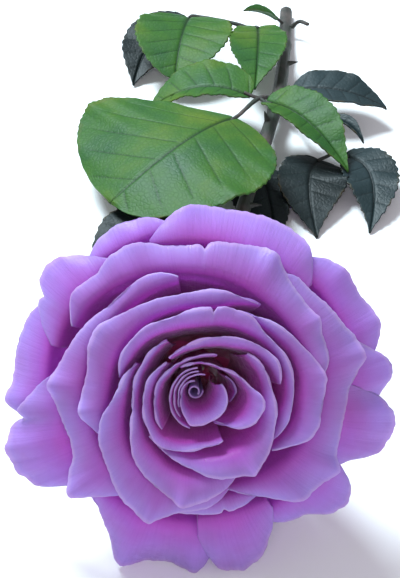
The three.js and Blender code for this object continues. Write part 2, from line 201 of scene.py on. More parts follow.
def tube(points, radii, sides):
    """Vertices and faces of a closed tube through a smooth run of points."""
    points = np.asarray(points, float)
    along = unit(np.gradient(points, axis=0))
    side = unit(np.cross(along, np.array([0.0, 0.0, 1.0])))
    lift = np.cross(side, along)
    angle = np.linspace(0, 2 * math.pi, sides, endpoint=False)
    ring = np.cos(angle)[None, :, None] * side[:, None] + np.sin(angle)[None, :, None] * lift[:, None]
    skin = points[:, None] + ring * np.asarray(radii)[..., None]
    vertices = np.concatenate([skin.reshape(-1, 3), points[:1], points[-1:]])
    count = len(points)
    faces = []
    for i in range(count - 1):
        for j in range(sides):
            k = (j + 1) % sides
            faces.append([i * sides + j, i * sides + k, (i + 1) * sides + k, (i + 1) * sides + j])
    start, end = count * sides, count * sides + 1
    for j in range(sides):
        k = (j + 1) % sides
        faces.append([k, j, start])
        faces.append([(count - 1) * sides + j, (count - 1) * sides + k, end])
    return vertices, faces


def joined(vertices, faces, more, its_faces):
    """Two closed shapes as one piece."""
    moved = [[i + len(vertices) for i in face] for face in its_faces]
    return np.concatenate([vertices, more]), faces + moved


def smooth_route(points, count):
    """Points evenly along a Catmull-Rom curve through the given ones."""
    points = np.asarray(points, float)
    padded = np.vstack([2 * points[0] - points[1], points, 2 * points[-1] - points[-2]])
    route = []
    for i in range(len(points) - 1):
        a, b, c, d = padded[i:i + 4]
        for t in np.linspace(0, 1, 24, endpoint=False):
            route.append(0.5 * (2 * b + (c - a) * t + (2 * a - 5 * b + 4 * c - d) * t ** 2
                                + (3 * b - a - 3 * c + d) * t ** 3))
    route = np.array(route + [points[-1]])
    length = np.concatenate([[0], np.cumsum(np.linalg.norm(np.diff(route, axis=0), axis=1))])
    even = np.linspace(0, length[-1], count)
    return np.stack([np.interp(even, length, route[:, axis]) for axis in range(3)], axis=-1)


# ---- materials ----
class Nodes:
    """A short way to add and join shader nodes."""

    def __init__(self, name):
        self.material = bpy.data.materials.new(name)
        self.material.use_nodes = True
        self.tree = self.material.node_tree
        self.tree.nodes.clear()

    def add(self, kind, inputs=None, **settings):
        node = self.tree.nodes.new(kind)
        for key, value in settings.items():
            setattr(node, key, value)
        for key, value in (inputs or {}).items():
            if isinstance(value, bpy.types.NodeSocket):
                self.tree.links.new(value, node.inputs[key])
            else:
                node.inputs[key].default_value = value
        return node

    def value(self, name):
        return self.add("ShaderNodeAttribute", attribute_name=name).outputs["Fac"]

    def position(self, scale=(1, 1, 1)):
        place = self.add("ShaderNodeTexCoord").outputs["Object"]
        return self.add("ShaderNodeMapping", {"Vector": place, "Scale": scale}).outputs["Vector"]

    def noise(self, vector, scale, detail=3.0, roughness=0.55):
        inputs = {"Vector": vector, "Scale": scale, "Detail": detail, "Roughness": roughness}
        return self.add("ShaderNodeTexNoise", inputs).outputs["Fac"]

    def math(self, operation, a, b):
        return self.add("ShaderNodeMath", {0: a, 1: b}, operation=operation).outputs[0]

    def ramp(self, factor, stops):
        node = self.add("ShaderNodeValToRGB", {"Fac": factor})
        ramp = node.color_ramp
        while len(ramp.elements) < len(stops):
            ramp.elements.new(0.5)
        for element, (place, colour) in zip(ramp.elements, stops):
            element.position = place
            element.color = (*colour, 1) if len(colour) == 3 else colour
        return node.outputs["Color"]

    def between(self, factor, low, high):
        """The factor, stretched so that low becomes 0 and high becomes 1."""
        inputs = {"Value": factor, "From Min": low, "From Max": high}
        return self.add("ShaderNodeMapRange", inputs).outputs["Result"]

    def mix(self, factor, a, b, blend="MIX"):
        node = self.add("ShaderNodeMix", data_type="RGBA", blend_type=blend)
        for socket, value in ((node.inputs["Factor"], factor), (node.inputs[6], a), (node.inputs[7], b)):
            if isinstance(value, bpy.types.NodeSocket):
                self.tree.links.new(value, socket)
            else:
                socket.default_value = (*value, 1) if isinstance(value, tuple) else value
        return node.outputs[2]

    def bump(self, height, strength, distance, normal=None):
        inputs = {"Height": height, "Strength": strength, "Distance": distance}
        if normal is not None:
            inputs["Normal"] = normal
        return self.add("ShaderNodeBump", inputs).outputs["Normal"]

    def finish(self, colour, roughness, normal, through=0.0, **constants):
        """Principled, with part of the light let through where the piece is thin."""
        shader = self.add("ShaderNodeBsdfPrincipled",
                          {"Base Color": colour, "Roughness": roughness, "Normal": normal})
        for key, value in constants.items():
            shader.inputs[key.replace("_", " ")].default_value = value
        surface = shader.outputs["BSDF"]
        if through:
            glow = self.add("ShaderNodeBsdfTranslucent", {"Color": colour, "Normal": normal})
            surface = self.add("ShaderNodeMixShader",
                               {0: through, 1: surface, 2: glow.outputs["BSDF"]}).outputs[0]
        self.add("ShaderNodeOutputMaterial", {"Surface": surface})
        return self.material


def petal_material():
    n = Nodes("petal_velvet")
    place = n.position()
    lip = n.value("lip")
    stretched = n.add("ShaderNodeCombineXYZ", {"X": n.value("across"), "Y": n.math("MULTIPLY", lip, 0.6)})
    veins = n.noise(stretched.outputs[0], 1.6, 4.0, 0.6)
    blotches = n.noise(place, 90, 3.0)
    grain = n.noise(place, 2600, 2.0)
    # The ramp along the petal is partly its own magenta, partly painted light: the foot and walls are deeper
    # and more saturated as painted shade and bounced light inside the bloom, and the lip is lighter and
    # bluer, palest at the rim, as a painted highlight of the cool light.
    tone = n.ramp(n.math("MULTIPLY", lip, 0.5), [
        (0.00, (0.92, 0.26, 0.58)), (0.28, (0.88, 0.15, 0.66)), (0.48, (0.68, 0.12, 0.68)),
        (0.66, (0.54, 0.21, 0.72)), (0.95, (0.53, 0.37, 0.84)), (1.00, (0.66, 0.50, 0.88))])
    outside = n.math("MULTIPLY", n.value("front"), n.value("outermost"))
    underside = n.ramp(n.math("MULTIPLY", lip, 0.5), [
        (0.00, (0.46, 0.48, 0.42)), (0.22, (0.52, 0.34, 0.66)), (1.00, (0.54, 0.32, 0.78))])
    tone = n.mix(outside, tone, underside)
    pinker = n.mix(1.0, tone, (1.0, 0.80, 0.88), "MULTIPLY")
    tone = n.mix(n.between(blotches, 0.35, 0.75), tone, pinker)
    tone = n.mix(0.35, tone, n.ramp(veins, [(0.30, (0.86, 0.78, 0.90)), (0.55, (1, 1, 1))]), "MULTIPLY")
    normal = n.bump(veins, 0.25, 0.0006)
    normal = n.bump(grain, 0.30, 0.00012, normal)
    rough = n.between(n.noise(place, 300), 0.2, 1.4)
    return n.finish(tone, rough, normal, through=0.48, Sheen_Weight=0.30, Sheen_Roughness=0.45,
                    Sheen_Tint=(0.80, 0.85, 1.0, 1.0), Specular_IOR_Level=0.12)


def leaf_material(name, deep, main, pale, vein, sheen):
    n = Nodes(name)
    place = n.position()
    patches = n.noise(place, 55, 4.0)
    cells = n.add("ShaderNodeTexVoronoi", {"Vector": place, "Scale": 750.0}, feature="DISTANCE_TO_EDGE")
    tone = n.ramp(patches, [(0.30, deep), (0.50, main), (0.72, pale)])
    ribs = n.between(n.value("vein"), 0.10, 0.9)
    net = n.between(cells.outputs["Distance"], 0.0, 0.25)
    tone = n.mix(n.math("MULTIPLY", n.math("SUBTRACT", 1.0, net), 0.16), tone, vein)
    # The midrib and side veins are mixed strongly towards the dark vein colour: painted shade in their sunken
    # grooves.
    tone = n.mix(n.math("MULTIPLY", ribs, 0.85), tone, vein)
    browned = n.math("MULTIPLY", n.between(n.value("edge"), 0.93, 1.0),
                     n.between(n.noise(place, 240), 0.45, 0.7))
    tone = n.mix(n.math("MULTIPLY", browned, 0.5), tone, (0.16, 0.11, 0.04))
    normal = n.bump(net, 0.25, 0.00015)
    normal = n.bump(n.noise(place, 1500, 2.0), 0.25, 0.0001, normal)
    rough = n.add("ShaderNodeMapRange", {"Value": patches, "To Min": 0.36, "To Max": 0.62}).outputs["Result"]
    return n.finish(tone, rough, normal, through=0.14, Specular_IOR_Level=sheen)


def calyx_material():
    n = Nodes("calyx_green")
    place = n.position()
    patches = n.noise(place, 160, 4.0)
    tone = n.ramp(patches, [(0.30, (0.10, 0.17, 0.06)), (0.55, (0.19, 0.27, 0.10)),
                            (0.75, (0.30, 0.30, 0.14))])
    normal = n.bump(n.noise(place, 1800, 3.0), 0.5, 0.0002)
    return n.finish(tone, 0.62, normal, Specular_IOR_Level=0.35)


def stem_material():
    n = Nodes("stem_bark")
    place = n.position((1, 0.14, 1))
    streaks = n.noise(place, 900, 4.0, 0.6)
    patches = n.noise(n.position(), 120, 3.0)
    tone = n.ramp(patches, [(0.30, (0.026, 0.040, 0.028)), (0.50, (0.046, 0.046, 0.042)),
                            (0.70, (0.10, 0.08, 0.075))])
    tone = n.mix(0.5, tone, n.ramp(streaks, [(0.35, (0.45, 0.45, 0.45)), (0.65, (1.25, 1.2, 1.1))]),
                 "MULTIPLY")
    wood = n.between(n.value("cut"), 0.4, 0.6)
    tone = n.mix(wood, tone, (0.36, 0.31, 0.22))
    normal = n.bump(streaks, 0.5, 0.0003)
    return n.finish(tone, 0.6, normal, Specular_IOR_Level=0.35)


def floor_material():
    n = Nodes("floor_matte")
    grain = n.noise(n.position(), 40, 2.0)
    tone = n.ramp(grain, [(0.3, (0.90, 0.90, 0.905)), (0.7, (0.915, 0.915, 0.92))])
    return n.finish(tone, 0.9, n.bump(grain, 0.05, 0.0005), Specular_IOR_Level=0.1)


PETAL = petal_material()
LEAF_LIGHT = leaf_material("leaf_green", (0.026, 0.098, 0.030), (0.044, 0.132, 0.022), (0.098, 0.172, 0.022),
                           (0.008, 0.030, 0.010), 0.20)
LEAF_DARK = leaf_material("leaf_slate", (0.008, 0.020, 0.022), (0.016, 0.032, 0.036), (0.030, 0.052, 0.058),
                          (0.005, 0.010, 0.011), 0.32)
# A near-black copy of the slate leaf material, for leaflets that lie in shade: painted shade.
LEAF_PAINTED_SHADE = leaf_material("leaf_painted_shade", (0.006, 0.010, 0.010), (0.010, 0.017, 0.018),
                           (0.018, 0.028, 0.030), (0.004, 0.007, 0.007), 0.25)
CALYX = calyx_material()
STEM = stem_material()


# ---- petals ----
def crown(radius):
    steep = np.where(radius < CROWN_RADIUS, 0.032, 0.027)
    return CROWN_TOP - steep * (radius - CROWN_RADIUS) ** 2


def foot_of(nest, crease):
    if nest <= BUD_NEST:
        return 0.36 * crease, 8 + 0 * crease
    return 0.8 + 0.165 * nest + 0 * crease, 6 - 0.27 * nest + 0 * crease


def profile(q, crease, rim, nest, drop):
    """Radius and height of a petal in its own plane: q is 0 to 1 up the wall, then 1 to 2 along the lip."""
    foot_r, foot_h = foot_of(nest, crease)
    knee_r, knee_h = crease, crown(crease) - drop
    flare = np.radians(np.minimum(12 + 0.55 * crease, 28))
    spread = np.radians(np.minimum(20 + 1.3 * crease, 62))
    reach = np.hypot(knee_r - foot_r, knee_h - foot_h)
    low_r, low_h = foot_r + 0.35 * reach * np.sin(spread), foot_h + 0.35 * reach * np.cos(spread)
    high_r, high_h = knee_r - 0.45 * reach * np.sin(flare), knee_h - 0.45 * reach * np.cos(flare)
    w = np.clip(q, 0, 1)
    b0, b1, b2, b3 = (1 - w) ** 3, 3 * w * (1 - w) ** 2, 3 * w ** 2 * (1 - w), w ** 3
    wall_r = b0 * foot_r + b1 * low_r + b2 * high_r + b3 * knee_r
    wall_h = b0 * foot_h + b1 * low_h + b2 * high_h + b3 * knee_h
    out = (rim - crease) * np.clip(q - 1, 0, 1)
    lip_r = crease + out
    lip_h = crown(lip_r) - drop + LIP_RISE * out + 1.4 * (1 - np.exp(-out))
    return np.where(q <= 1, wall_r, lip_r), np.where(q <= 1, wall_h, lip_h)


def blurred(azimuth, corners, column, width):
    """A corner value along the rim, rounded over a width in degrees."""
    total = 0 * azimuth
    offsets = np.linspace(-1, 1, 9)
    weights = 1 - offsets ** 2 * 0.9
    for offset, weight in zip(offsets, weights):
        total += weight * np.interp(azimuth + offset * width, corners[:, 0], corners[:, column])
    return total / weights.sum()


def corner_shyness(azimuth, corners):
    """0 at the rim's pointed corners, 1 between them: how much the rim rolls over there."""
    shy = np.ones_like(azimuth)
    for before, at, after in zip(corners[:-2], corners[1:-1], corners[2:]):
        slope_in = (at[2] - before[2]) / (at[0] - before[0])
        slope_out = (after[2] - at[2]) / (after[0] - at[0])
        pointed = np.clip((slope_in - slope_out) * 4, 0, 1)
        shy *= 1 - pointed * np.exp(-((azimuth - at[0]) / TIP_HALF_WIDTH) ** 2)
    return shy


# small tears and notches in a rim: azimuth, depth and half width in degrees
TEARS = {
    "middle_petal_4": ((78, 1.9, 0.9),),
    "guard_petal_1": ((191, 2.4, 1.6),),
    "guard_petal_3": ((149, 1.6, 1.8),),
    "large_petal_3": ((86, 1.2, 1.4),),
    "middle_petal_7": ((284, 1.0, 1.0),),
}


def petal_rows():
    """q of the rows of a petal's grid, closer together around the crease."""
    wall = 1 - (1 - np.linspace(0, 1, WALL_ROWS + 1)) ** 1.3
    lip = 1 + np.linspace(0, 1, LIP_ROWS + 1)[1:] ** 1.15
    return np.concatenate([wall, lip])[:, None]


def kept_height(arc):
    """The part of its height that a petal keeps, less than 1 near its two ends."""
    from_end = np.minimum(arc, arc[-1] - arc)
    rounding = min(END_ROUNDING, 0.24 * arc[-1])
    return 1 - END_DROP * (1 - np.clip(from_end / rounding, 0, 1)) ** 2


def roll_over(radius, height, lip_width, shy, arc, generator):
    """A petal's profile with the rows added that roll its rim over."""
    forward_r = radius[-1] - radius[-2]
    forward_h = height[-1] - height[-2]
    length = np.hypot(forward_r, forward_h)
    forward_r = forward_r / length
    forward_h = forward_h / length
    roll = np.clip(lip_width * 0.07, *ROLL_RADIUS) * (0.75 + 0.25 * wave(arc, (14, 9), generator))
    turn = np.radians(ROLL_TURN[0] + ROLL_TURN[1] * shy)
    phi = turn * np.linspace(0, 1, HEM_ROWS + 1)[1:, None]
    hem_r = radius[-1] + roll * (np.sin(phi) * forward_r + (1 - np.cos(phi)) * forward_h)
    hem_h = height[-1] + roll * (np.sin(phi) * forward_h - (1 - np.cos(phi)) * forward_r)
    return np.vstack([radius, hem_r]), np.vstack([height, hem_h])


def ripples(q, arc, size, bud, generator):
    """How far a petal stands off its smooth surface: waves in the lip, finer ones at the rim, wall flutes."""
    strength = 0.15 if bud else np.clip(0.05 * size, 0.25, 1.0)
    lift = 0.40 * strength * smoothstep(q, 0.7, 2.0) * wave(arc, (1.1 * size, 0.6 * size), generator)
    lift = lift + 0.03 * smoothstep(q, 1.3, 2.0) * wave(arc, (3.4, 2.1), generator)
    on_wall = smoothstep(q, 0.2, 0.6) * (1 - smoothstep(q, 0.8, 1.2))
    flutes = 0.06 * on_wall * wave(arc, (7.5, 5.1), generator)
    return lift + flutes


def petal(name, nest, corners, drop=0.0):
    corners = np.array(corners, float)
    size = corners[:, 2].max()
    generator = np.random.default_rng(int(100 * nest + len(name) + 7 * size))
    span = corners[-1, 0] - corners[0, 0]
    columns = int(max(30, math.radians(span) * size / COLUMN_STEP))
    azimuth = np.linspace(corners[0, 0], corners[-1, 0], columns + 1)
    arc = np.radians(azimuth - azimuth[0]) * size
    crease = blurred(azimuth, corners, 1, CREASE_BLUR)
    rim = blurred(azimuth, corners, 2, RIM_BLUR)
    rim = rim + RIM_UNEVENNESS * (rim - crease) * wave(arc, (5, 3.1, 1.7), generator)
    for at, depth, half_width in TEARS.get(name, ()):
        rim = rim - depth * np.exp(-((azimuth - at) / half_width) ** 2)
    q = petal_rows() * kept_height(arc)
    radius, height = profile(q, crease, rim, nest, drop)
    # between its corners the lip bends back, and the rim rolls over
    shy = corner_shyness(azimuth, corners)
    height = height - BEND_BACK * shy * (rim - crease) * np.clip(q - 1, 0, 1) ** 2
    radius, height = roll_over(radius, height, rim - crease, shy, arc, generator)
    q = np.vstack([q, np.full((HEM_ROWS, columns + 1), 2.0)])
    claw = min(0.8 * span, math.degrees(CLAW_WIDTH / float(foot_of(nest, corners[0, 1])[0])), 150)
    middle = (azimuth[0] + azimuth[-1]) / 2
    width = lerp(claw / span, 1, smoothstep(q, 0, 0.7))
    points = bloom_point(middle + (azimuth - middle) * width, radius, height)
    relief = ripples(q, arc, size, nest <= BUD_NEST, generator)
    points = points + grid_normals(points) * relief[..., None]
    thickness = PETAL_THICKNESS * lerp(0.6, 1, smoothstep(q, 0, 0.4)) * lerp(1, 0.75, smoothstep(q, 1.8, 2))
    values = {"lip": q + 0 * arc, "across": arc + 0 * q + 10 * nest,
              "outermost": smoothstep(nest, 12, 20) + 0 * q + 0 * arc}
    return sheet(name, points, thickness, PETAL, values)


def rolled_core():
    s = np.linspace(0, 1, 130)
    t = np.linspace(0, 1, 40)[:, None]
    radius = (0.75 + 0.9 * s) * lerp(0.5, 1, t)
    height = lerp(16, 35.5 - 1.5 * s, t)
    points = bloom_point(-40 + 400 * s + 0 * t, radius, height)
    values = {"lip": 0.9 + 1.1 * t + 0 * s, "across": 8 * s + 0 * t}
    return sheet("bud_core", points, 0.3, PETAL, values)


# name, place in the nest, and corners of the rim: azimuth, radius of the crease, radius of the rim
PETALS = [
    ["bud_petal_1", 1, [[90, 2.3, 2.4], [195, 2.6, 2.9], [227, 3.1, 4.0], [245, 3.4, 4.8],
     [262, 3.7, 6.1], [302, 3.8, 6.1], [345, 3.9, 6.8], [384, 4.6, 7.4]]],
    ["bud_petal_2", 2, [[62, 4.4, 4.5], [98, 3.5, 3.6], [145, 3.1, 3.2], [195, 3.4, 3.5], [222, 4.3, 4.4]]],
    ["bud_petal_3", 3, [[80, 4.7, 4.9], [98, 4.4, 4.5], [145, 3.9, 4.0], [195, 4.3, 4.4], [238, 5.6, 5.7]]],
    ["bud_petal_4", 4, [[84, 5.5, 5.6], [98, 5.2, 5.3], [145, 4.7, 4.8], [178, 4.9, 5.0],
     [209, 5.5, 5.7], [243, 6.5, 6.7], [262, 7.0, 7.2]]],
    ["inner_petal_1", 5, [[342, 7.4, 7.6], [360, 8.3, 8.6], [374, 7.9, 8.1], [386, 6.9, 7.1]]],
    ["inner_petal_2", 6, [[304, 6.7, 7.0], [314, 8.0, 8.6], [326, 9.4, 11.4], [337, 10.4, 13.2],
     [352, 11.0, 14.2], [362, 10.9, 13.8], [370, 10.2, 11.6], [387, 9.2, 9.6], [405, 7.6, 7.8],
     [432, 6.8, 6.9], [463, 6.3, 6.4], [478, 6.4, 6.5]]],
    ["inner_petal_3", 6.6, [[62, 9.4, 10.2], [72, 8.6, 9.2], [90, 7.7, 8.0], [111, 7.2, 7.4],
     [139, 6.8, 7.5], [160, 7.2, 8.1], [183, 7.6, 8.2], [204, 8.2, 8.9], [226, 9.4, 10.2]]],
    ["inner_petal_4", 8.4, [[130, 8.8, 9.2], [147, 8.6, 9.9], [172, 8.9, 10.3], [193, 9.5, 10.8],
     [213, 10.1, 11.5], [229, 10.8, 12.4], [240, 10.6, 12.4], [267, 10.0, 11.1], [280, 9.8, 10.8],
     [302, 10.2, 11.8]]],
    ["inner_petal_5", 9.2, [[8, 17.2, 18.4], [23, 16.4, 18.4], [39, 14.7, 17.0], [53, 12.8, 15.2],
     [71, 11.0, 13.2], [90, 9.9, 11.2], [110, 9.2, 10.2], [124, 9.2, 9.9]]],
    ["middle_petal_1", 10, [[222, 12.0, 12.6], [238, 12.2, 13.0], [254, 12.2, 13.8], [270, 12.4, 15.2],
     [291, 13.2, 17.7], [308, 13.8, 20.2], [315, 13.9, 19.5], [339, 14.3, 17.4], [360, 14.0, 16.0],
     [385, 13.6, 15.3], [400, 13.2, 14.8]]],
    ["middle_petal_2", 11, [[116, 12.6, 13.4], [148, 11.7, 12.6], [179, 11.7, 12.7], [194, 12.0, 13.1],
     [207, 12.6, 14.4], [222, 13.8, 17.2], [238, 14.8, 19.3], [252, 15.3, 21.3], [263, 15.6, 22.9],
     [279, 15.8, 21.3], [301, 16.2, 19.7]]],
    ["middle_petal_3", 13, [[150, 13.4, 14.2], [174, 14.0, 15.4], [183, 14.4, 17.1], [191, 14.9, 19.2],
     [204, 16.0, 21.5], [224, 17.6, 24.1], [236, 18.3, 26.4], [250, 18.6, 28.8], [264, 18.8, 24.8],
     [290, 19.0, 22.8]]],
    ["middle_petal_4", 12, [[-33, 17.0, 19.2], [-17, 17.6, 19.8], [3, 18.8, 20.4], [15, 19.0, 20.3],
     [28, 18.4, 20.0], [43, 17.4, 19.4], [58, 16.3, 20.2], [72, 15.4, 19.6], [80, 14.7, 18.4],
     [94, 14.3, 17.7], [107, 14.3, 17.2], [126, 15.0, 17.5], [145, 15.2, 17.4], [166, 15.6, 16.4]]],
    ["middle_petal_5", 14, [[-36, 19.2, 20.2], [-28, 19.8, 22.3], [-21, 20.6, 25.2], [-15, 21.2, 26.4],
     [1, 21.8, 26.9], [8, 22.0, 27.2], [24, 21.4, 24.3], [41, 20.2, 22.0], [54, 19.4, 20.6],
     [63, 19.2, 20.0]]],
    ["middle_petal_6", 17, [[-73, 20.4, 21.0], [-65, 20.8, 23.6], [-57, 21.4, 26.2], [-46, 22.4, 31.8],
     [-37, 23.4, 33.4], [-30, 24.0, 35.2], [-25, 24.4, 32.7], [-13, 25.0, 31.5], [0, 25.6, 32.4],
     [11, 26.0, 36.8], [24, 26.2, 33.3], [42, 26.4, 31.8], [57, 26.4, 32.4]]],
    ["middle_petal_7", 18, [[246, 21.2, 24.6], [262, 21.6, 25.2], [278, 22.0, 25.8], [291, 22.4, 25.9],
     [304, 23.6, 26.4]]],
    ["large_petal_1", 15, [[54, 22.6, 23.8], [64, 20.9, 22.8], [77, 19.0, 22.1], [88, 18.4, 21.4],
     [104, 18.2, 21.2], [118, 18.2, 21.6], [132, 18.1, 22.8], [143, 18.0, 24.0], [153, 17.9, 23.8],
     [168, 17.8, 22.6], [180, 17.8, 23.1], [188, 17.9, 24.0], [207, 18.6, 21.9]]],
    ["large_petal_2", 16, [[98, 23.4, 26.0], [116, 23.0, 26.3], [135, 22.2, 25.5], [147, 22.0, 26.2],
     [158, 22.0, 27.4], [171, 22.0, 29.0], [176, 22.0, 30.6], [186, 21.8, 28.8], [202, 21.7, 27.8],
     [209, 21.7, 28.6], [220, 21.9, 34.6], [230, 22.0, 29.2], [240, 22.2, 26.0]]],
    ["large_petal_3", 19, [[4, 24.0, 26.6], [14, 24.0, 28.2], [25, 23.8, 28.9], [31, 23.7, 30.3],
     [38, 23.7, 29.3], [48, 23.8, 29.8], [55, 23.9, 31.6], [60, 24.0, 33.8], [73, 24.4, 31.6],
     [90, 24.9, 30.4], [101, 25.4, 31.0], [112, 26.2, 33.2], [123, 27.0, 33.0], [130, 27.6, 31.6],
     [142, 28.2, 32.6], [152, 28.0, 29.8]]],
    ["guard_petal_1", 20, [[172, 26.0, 32.6], [181, 26.4, 34.0], [186, 26.6, 37.0], [194, 26.8, 40.2],
     [200, 26.8, 43.4], [207, 26.8, 43.4], [213, 26.8, 41.0], [218, 26.8, 36.5], [223, 26.8, 33.0]]],
    ["guard_petal_2", 25, [[146, 31.6, 36.0], [153, 31.6, 37.5], [160, 31.4, 38.6], [168, 31.0, 39.2],
     [180, 30.6, 38.9], [185, 30.4, 41.0], [190, 30.2, 38.0], [198, 30.0, 34.0]]],
    ["guard_petal_3", 23, [[122, 30.6, 34.0], [130, 30.4, 36.2], [136, 30.2, 39.2], [141, 30.1, 40.2],
     [147, 30.0, 39.0], [155, 30.0, 36.4], [163, 29.6, 34.0]]],
    ["guard_petal_4", 28, [[96, 33.0, 34.6], [106, 32.8, 37.3], [116, 32.6, 38.0], [124, 32.6, 36.8],
     [132, 32.6, 35.2]]],
    ["guard_petal_5", 24, [[42, 30.2, 36.6], [50, 30.2, 38.1], [67, 30.2, 38.4], [81, 30.3, 38.0],
     [93, 30.4, 38.2], [97, 30.5, 36.8], [107, 30.9, 35.0]]],
    ["guard_petal_6", 29, [[4, 33.0, 36.6], [10, 33.0, 39.6], [18, 33.0, 41.8], [28, 33.0, 39.8],
     [37, 32.8, 40.2], [45, 32.6, 37.8], [53, 32.6, 35.6]]],
    ["guard_petal_7", 27, [[-13, 30.6, 36.0], [-4, 30.6, 40.0], [2, 30.6, 43.0], [7, 30.6, 42.0],
     [12, 30.6, 37.6], [20, 30.4, 34.0]]],
    ["guard_petal_8", 22, [[-35, 27.8, 33.6], [-27, 28.0, 36.5], [-21, 28.2, 43.0], [-14, 28.2, 44.6],
     [-9, 28.2, 43.6], [-4, 28.2, 40.0], [3, 28.2, 35.0]]],
    ["guard_petal_9", 26, [[295, 29.6, 33.0], [304, 29.8, 35.4], [311, 30.0, 37.0], [316, 30.0, 41.4],
     [321, 30.0, 43.2], [326, 30.0, 41.0], [334, 30.0, 36.0]]],
    ["guard_petal_10", 21, [[271, 26.4, 38.6], [278, 26.4, 41.6], [284, 26.6, 42.8], [290, 26.8, 40.4],
     [296, 27.2, 36.0], [303, 27.6, 33.0]]],
    ["guard_petal_11", 24, [[219, 29.6, 31.4], [231, 28.9, 33.3], [241, 28.5, 38.0], [248, 28.3, 44.6],
     [254, 28.3, 41.6], [261, 28.2, 40.7], [270, 28.2, 42.6], [279, 28.4, 39.0]]],
]


# ---- leaves ----
def tooth(position):
    """The outline of one tooth of a serrated edge: it rises slowly and drops fast."""
    phase = position % 1
    return np.where(phase < 0.75, phase / 0.75, (1 - phase) / 0.25)


def leaf_veins(x, across, t, outline, length, veins):
    """Masks of the midrib and of the side veins, which bend towards the tip, and the puffed leaf between."""
    slant = 0.42 * np.abs(x) ** 0.92 / length * 1.25
    shift = np.where(across < 0, 0.0, 0.45)
    phase = (veins * (t - slant) + shift) % 1
    distance = np.abs(phase - 0.5) / veins * length
    midrib = np.exp(-(x / (0.25 + 0.5 * (1 - t))) ** 2)
    side = np.exp(-(distance / 0.26) ** 2) * smoothstep(np.abs(across), 0.0, 0.06)
    side = side * (1 - 0.8 * smoothstep(np.abs(across), 0.6, 0.95))
    side = side * smoothstep(outline, 0.1, 0.4)
    puffed = 0.20 * np.sin(math.pi * np.clip(distance * veins * 2 / length, 0, 1) / 2) * np.abs(across) ** 0.5
    return midrib, side, puffed


def blade(name, route, widths, slot, material, fold=8, facing=(0, 0, 1), widest=(0.42, 0.42),
          teeth=0.5, veins=6, seed=1, steps=(60, 90), waves=0.7, point=1.1):
    """A leaf blade: the same surface as its CAD solid, with teeth, sunken veins and a gentle wave.

    point sets the tip, from 0.45, round, to 1.1, drawn out.
    """
    generator = np.random.default_rng(seed)
    start, via, end = (np.array(place, float) for place in route)
    left, right = widths
    across = np.linspace(-1, 1, steps[0] + 1)[None, :]
    across = np.sign(across) * np.abs(across) ** 0.9
    t = np.linspace(0, 1, steps[1] + 1)[:, None]
    rib = (1 - t) ** 2 * start + 2 * t * (1 - t) * via + t ** 2 * end
    tangent = unit(2 * (1 - t) * (via - start) + 2 * t * (end - via))
    side = unit(np.cross(tangent, np.array(facing, float)))
    lift = unit(np.cross(side, tangent))
    length = np.linalg.norm(np.diff(rib, axis=0), axis=1).sum()
    left_bulge, right_bulge = (math.log(0.5) / math.log(place) for place in widest)
    bulge = np.where(across < 0, left_bulge, right_bulge)
    power = lerp(0.62, point, smoothstep(t, 0.35, 1))
    outline = 0.015 + 0.985 * np.clip(np.sin(math.pi * t ** bulge), 0, 1) ** power
    reach = np.where(across < 0, left, right) * outline
    count = length / TOOTH_PITCH
    bite = teeth * tooth(count * t + 0.2 * generator.random()) * np.clip(outline * 3, 0, 1)
    x = across * reach + np.sign(across) * np.abs(across) ** 10 * bite
    midrib, side_veins, puffed = leaf_veins(x, across, t, outline, length, veins)
    wavy = waves * np.abs(across) ** 2 * wave(t * length + 20 * (across > 0), (17, 11, 7), generator)
    dome = puffed * outline + wavy * outline - 0.45 * midrib - 0.14 * side_veins
    angle = math.radians(fold)
    points = rib[:, None] + (x * math.cos(angle))[..., None] * side[:, None]
    points = points + (np.abs(x) * math.sin(angle) + dome)[..., None] * lift[:, None]
    values = {"vein": np.maximum(midrib, 0.8 * side_veins), "edge": np.abs(across) + 0 * t}
    return sheet(name, points, LEAF_THICKNESS, material, values)


def light_leaf(name, route, widths, **details):
    return blade(name, route, widths, "leaf_light", LEAF_LIGHT, **details)


# With shade set, a leaflet gets the near-black copy of the dark leaf material: painted shade for leaflets
# that lie in shadow.
def dark_leaf(name, route, widths, shade=False, **details):
    return blade(name, route, widths, "leaf_dark", LEAF_PAINTED_SHADE if shade else LEAF_DARK, **details)


def with_branch(vertices, faces, ends, radius):
    """The shape with a thin round branch added through the given points."""
    route = smooth_route(ends, BRANCH_ROWS)
    branch = tube(route, np.full((BRANCH_ROWS, BRANCH_SIDES), radius), BRANCH_SIDES)
    return joined(vertices, faces, *branch)


def stalk(name, points, radius=STALK_RADIUS, end_radius=0.7, branches=()):
    """A leaf stalk: swollen where it starts, grooved on top, with a branch to each side leaflet."""
    route = smooth_route(points, STALK_ROWS)
    t = np.linspace(0, 1, STALK_ROWS)[:, None]
    angle = np.linspace(0, 2 * math.pi, STALK_SIDES, endpoint=False)[None, :]
    swell = 1 + 0.35 * np.exp(-(t / 0.08) ** 2)
    groove = 1 - 0.12 * np.exp(-((angle - math.pi / 2) / 0.5) ** 2)
    radii = radius * swell * groove * lerp(1, end_radius, t)
    radii = radii * (1 + 0.04 * np.sin(40 * t + 2 * angle))
    vertices, faces = tube(route, radii, STALK_SIDES)
    for ends in branches:
        vertices, faces = with_branch(vertices, faces, ends, BRANCH_RADIUS)
    return make_piece(name + "_fine", vertices, faces, name, STEM, {"cut": np.zeros(len(vertices))})


